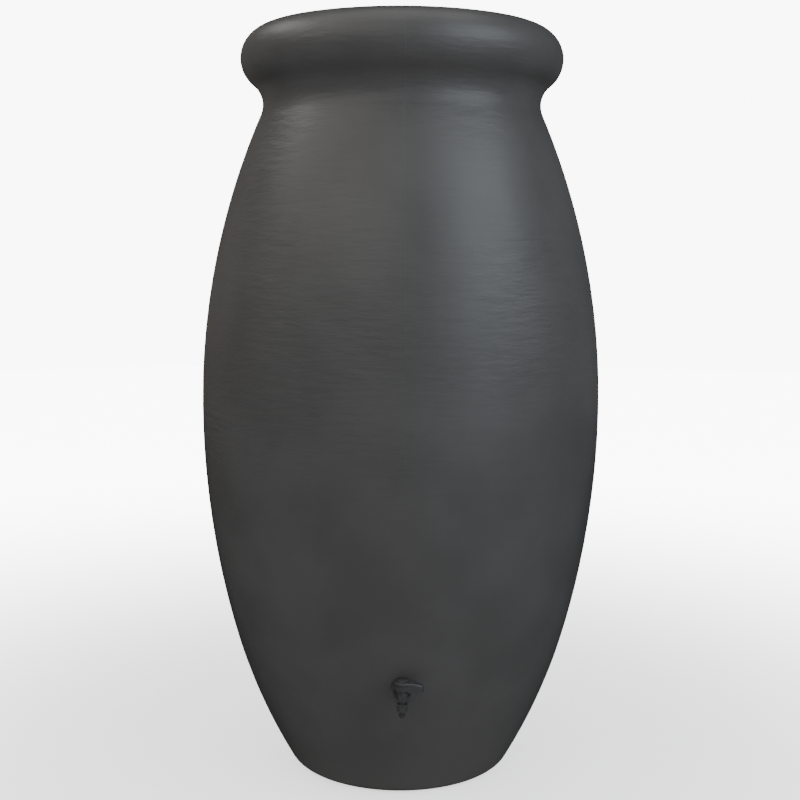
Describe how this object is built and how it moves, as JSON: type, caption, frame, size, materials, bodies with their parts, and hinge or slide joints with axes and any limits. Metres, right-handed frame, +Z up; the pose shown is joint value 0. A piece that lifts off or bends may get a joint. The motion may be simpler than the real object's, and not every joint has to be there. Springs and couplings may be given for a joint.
{
  "type": "rain barrel",
  "caption": "Amphora-shaped moulded rain barrel with a rolled rim, a recessed funnel lid with a lift-out leaf strainer, and a lever tap at the foot.",
  "frame": {"origin": "centre of the flat base, on the ground", "axes": "+Z up along the barrel's axis, -Y towards the tap, +X to the right seen from the tap's side"},
  "size_m": [0.634, 0.634, 1.17],
  "materials": {
    "barrel_plastic": "satin rotationally moulded polyethylene with a fine hammered texture",
    "lid_plastic": "satin injection moulded polypropylene",
    "tap_plastic": "satin moulded nylon",
    "seal_rubber": "matt black rubber",
    "screw_steel": "plain stainless steel",
    "mesh_steel": "stainless steel mesh"
  },
  "bodies": {
    "barrel": {"barrel_shell": "barrel_plastic", "tap_body": "tap_plastic", "tap_outer_gasket": "seal_rubber", "tap_inner_gasket": "seal_rubber", "tap_back_nut": "tap_plastic", "valve_bonnet": "tap_plastic", "outlet_seal": "seal_rubber", "outlet_nut": "tap_plastic", "hose_tail": "tap_plastic"},
    "tap_handle": {"valve_plug": "tap_plastic", "valve_lower_o_ring": "seal_rubber", "valve_upper_o_ring": "seal_rubber", "valve_lever": "tap_plastic", "lever_screw": "screw_steel", "lever_cap": "tap_plastic"},
    "lid_body": {"lid": "lid_plastic"},
    "strainer": {"strainer_basket": "lid_plastic", "strainer_mesh": "mesh_steel"}
  },
  "joints": [
    {"name": "tap_turn", "type": "hinge", "parent": "barrel", "child": "tap_handle", "pos_m": [0, -0.28614, 0.195], "axis": [0, 0, 1], "range_deg": [-90, 0]},
    {"name": "lid_lift", "type": "slide", "parent": "barrel", "child": "lid_body", "axis": [0, 0, 1], "range_m": [0, 0.2]},
    {"name": "strainer_lift", "type": "slide", "parent": "lid_body", "child": "strainer", "axis": [0, 0, 1], "range_m": [0, 0.12]}
  ]
}
